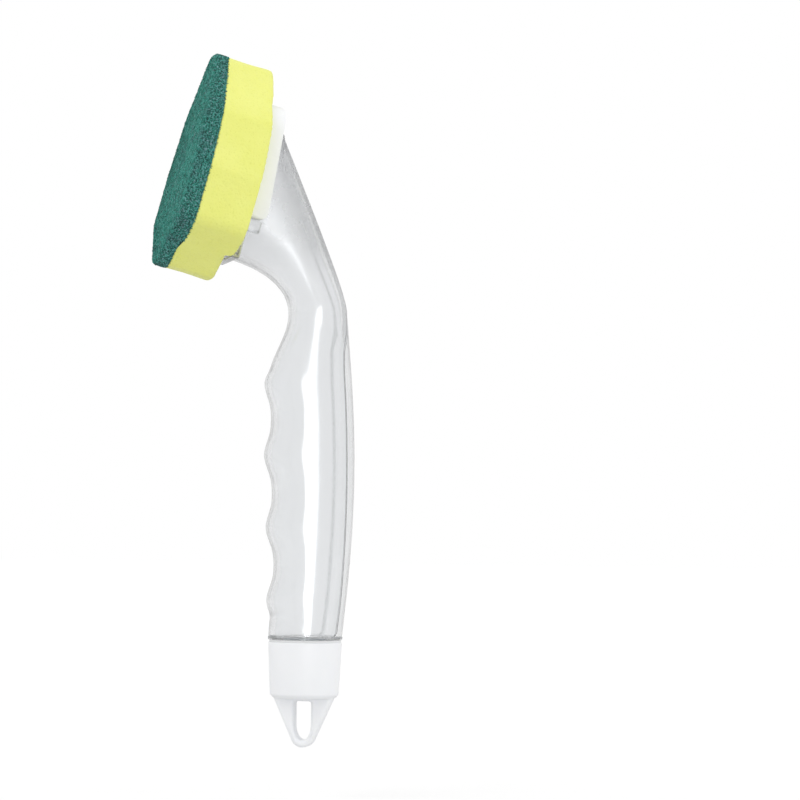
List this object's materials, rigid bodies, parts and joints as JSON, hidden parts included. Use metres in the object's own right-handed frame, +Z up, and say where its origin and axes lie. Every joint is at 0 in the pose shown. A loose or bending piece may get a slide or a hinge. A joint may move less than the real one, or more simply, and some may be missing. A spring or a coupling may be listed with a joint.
{
  "type": "dish wand",
  "caption": "Soap-dispensing dish wand with a clear hollow grip, a screw cap with a hang loop and a slide-on sponge head with a scrub face.",
  "frame": {"origin": "centre of the hang loop's slot, on the axis of the screw cap", "axes": "+Z up the handle, from the cap towards the sponge; the scrub face looks towards -Y, tilted 15 degrees up; X runs across the grip"},
  "size_m": [0.059, 0.0744, 0.249],
  "materials": {
    "clear_plastic": "clear, polished",
    "silicone": "translucent, soft",
    "white_plastic": "satin",
    "foam": "open-cell foam",
    "scrub_web": "non-woven abrasive fibre"
  },
  "bodies": {
    "handle": {"front_shell": "clear_plastic", "back_shell": "clear_plastic", "outlet_valve": "silicone"},
    "washer": {"cap_washer": "silicone"},
    "cap": {"end_cap": "white_plastic"},
    "refill_head": {"sponge_holder": "white_plastic", "foam_block": "foam", "scrub_pad": "scrub_web"}
  },
  "joints": [
    {"name": "cap_travel", "type": "slide", "parent": "handle", "child": "washer", "axis": [0, 0, -1], "range_m": [0, 0.016]},
    {"name": "cap_turn", "type": "hinge", "parent": "washer", "child": "cap", "pos_m": [0, 0, 0.018], "axis": [0, 0, -1], "range_deg": [0, 720]},
    {"name": "refill_slide", "type": "slide", "parent": "handle", "child": "refill_head", "axis": [0, 0.2588, 0.9659], "range_m": [0, 0.042]}
  ],
  "couplings": [
    {"joint": "cap_travel", "follows": "cap_turn", "m_per_rad": 0.0012732}
  ]
}
